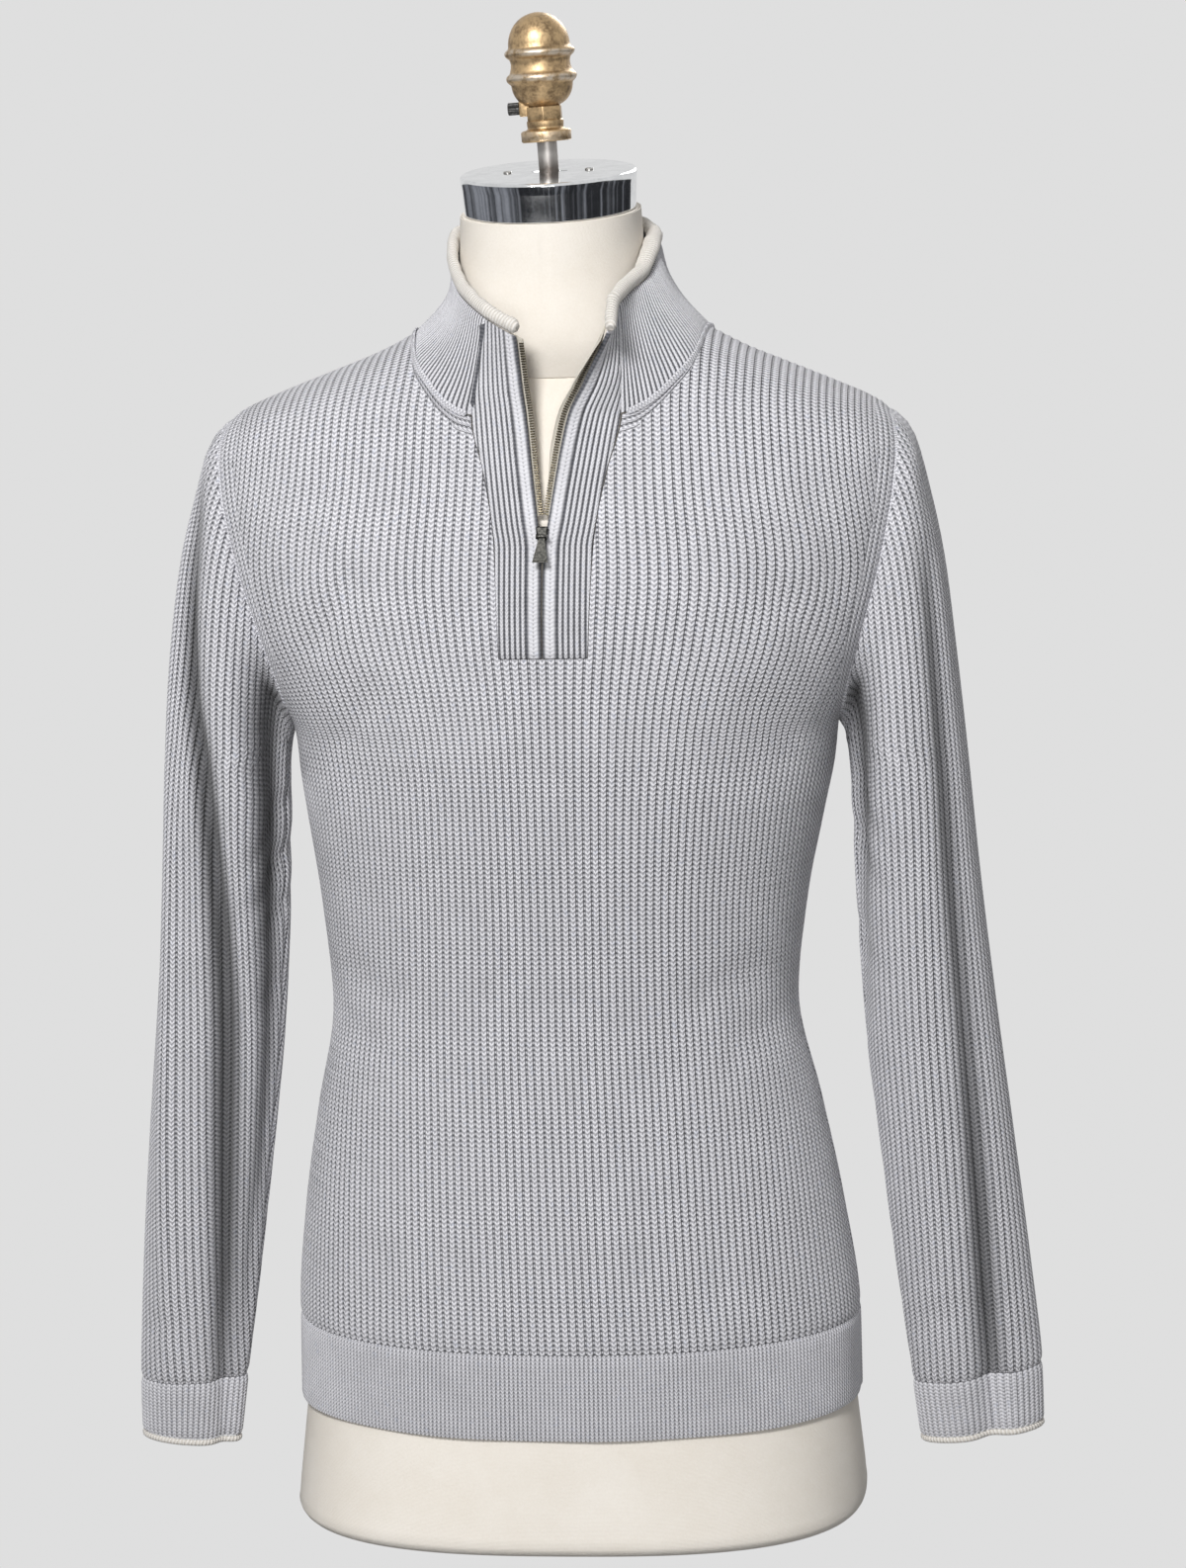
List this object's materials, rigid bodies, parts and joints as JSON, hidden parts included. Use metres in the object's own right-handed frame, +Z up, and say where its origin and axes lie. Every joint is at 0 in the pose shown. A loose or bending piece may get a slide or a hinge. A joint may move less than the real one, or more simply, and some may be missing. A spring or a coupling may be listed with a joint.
{
  "type": "quarter zip sweater on a limbless dress form",
  "caption": "Ribbed knit quarter zip sweater with stand-up collar, contrast edges and long sleeves, worn by a padded limbless dress form with a metal neck cap and turned finial.",
  "frame": {"origin": "centre of the dress form's flat base", "axes": "+Z up, the front faces -Y, the wearer's left is +X"},
  "size_m": [0.5982, 0.2666, 0.9639],
  "materials": {
    "knit": "heather light blue-grey half cardigan rib knit",
    "tipping": "ecru knit edge",
    "zip_tape": "woven ecru tape with metal teeth",
    "gunmetal": "dark gunmetal plating",
    "canvas": "off-white sewn canvas over a padded body",
    "chrome": "polished chrome plate",
    "steel": "plain steel",
    "brass": "aged cast brass",
    "iron": "blackened thumb screw"
  },
  "bodies": {
    "sweater": {"front_panel": "knit", "back_panel": "knit", "hem_front": "knit", "hem_back": "knit", "sleeve_right": "knit", "sleeve_left": "knit", "cuff_right": "knit", "cuff_left": "knit", "cuff_tipping_right": "tipping", "cuff_tipping_left": "tipping", "placket_right": "knit", "placket_left": "knit", "collar": "knit", "collar_tipping": "tipping", "zip_tape_right": "zip_tape", "zip_tape_left": "zip_tape", "zip_slider": "gunmetal", "form_body": "canvas", "neck_cap": "chrome", "cap_screw_right": "steel", "cap_screw_left": "steel", "rod": "steel", "finial": "brass", "thumb_screw": "iron"},
    "pull_tab": {"zip_pull_tab": "gunmetal"}
  },
  "joints": [
    {"name": "pull_tab_hinge", "type": "hinge", "parent": "sweater", "child": "pull_tab", "pos_m": [-0.00279, -0.12265, 0.6475], "axis": [-1, 0, 0], "range_deg": [0, 165]}
  ]
}
